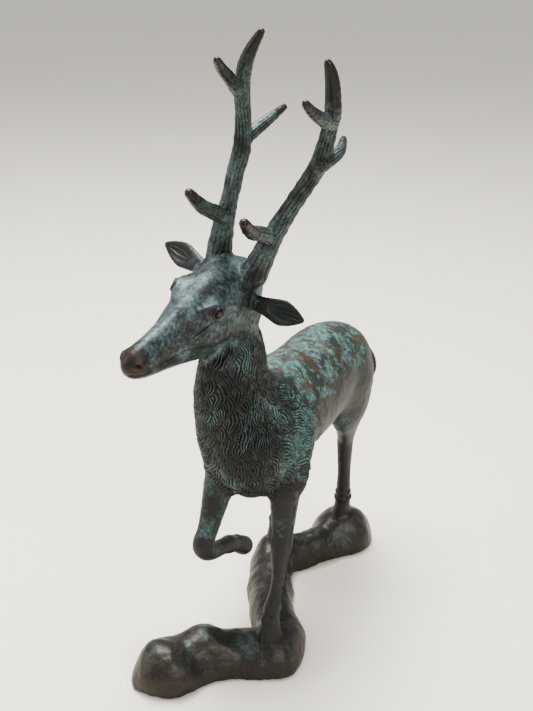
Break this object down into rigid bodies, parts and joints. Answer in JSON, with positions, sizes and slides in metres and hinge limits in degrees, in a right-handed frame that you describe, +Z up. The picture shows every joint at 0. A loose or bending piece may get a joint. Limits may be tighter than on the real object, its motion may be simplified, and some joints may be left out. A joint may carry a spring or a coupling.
{
  "type": "bronze stag statuette",
  "caption": "Walking bronze stag with branched antlers and a wavy mane, one foreleg raised, standing on a winding rocky base; cast pieces pinned together.",
  "frame": {"origin": "middle of the bounding box in plan, on the surface the base stands on", "axes": "+Z up; the stag faces -Y, its left side is +X, its head is turned a little to its right (-X)"},
  "size_m": [0.1098, 0.2458, 0.3911],
  "materials": {
    "rock_bronze": "dark brown-black patinated bronze, worn shiny on the lumps",
    "body_bronze": "bronze with blotchy turquoise verdigris and ochre patches, satin",
    "mane_bronze": "dark bronze with green on the hair ridges, satin",
    "head_bronze": "grey-green patinated bronze, worn brown at muzzle and eyes",
    "antler_bronze": "dark grooved bronze with green patina, polished brown tips",
    "leg_bronze": "dark brown-green bronze, worn at knees and casting seams",
    "pin_brass": "bare brass rod, unpolished",
    "screw_steel": "zinc-plated steel"
  },
  "bodies": {
    "root": {"base": "rock_bronze", "body": "body_bronze", "tail": "body_bronze", "neck_mane": "mane_bronze", "head": "head_bronze", "left_ear": "head_bronze", "right_ear": "head_bronze", "left_antler": "antler_bronze", "right_antler": "antler_bronze", "left_foreleg": "leg_bronze", "right_foreleg": "leg_bronze", "left_hindleg": "leg_bronze", "right_hindleg": "leg_bronze", "neck_dowel": "pin_brass", "left_foreleg_dowel": "pin_brass", "right_foreleg_dowel": "pin_brass", "left_hindleg_dowel": "pin_brass", "right_hindleg_dowel": "pin_brass", "left_antler_dowel": "pin_brass", "right_antler_dowel": "pin_brass", "left_ear_pin": "pin_brass", "right_ear_pin": "pin_brass", "tail_pin": "pin_brass", "head_sleeve": "pin_brass", "left_fore_foot_screw": "screw_steel", "left_hind_foot_screw": "screw_steel", "right_hind_foot_screw": "screw_steel", "left_fore_foot_washer": "screw_steel", "left_hind_foot_washer": "screw_steel", "right_hind_foot_washer": "screw_steel"}
  },
  "joints": []
}
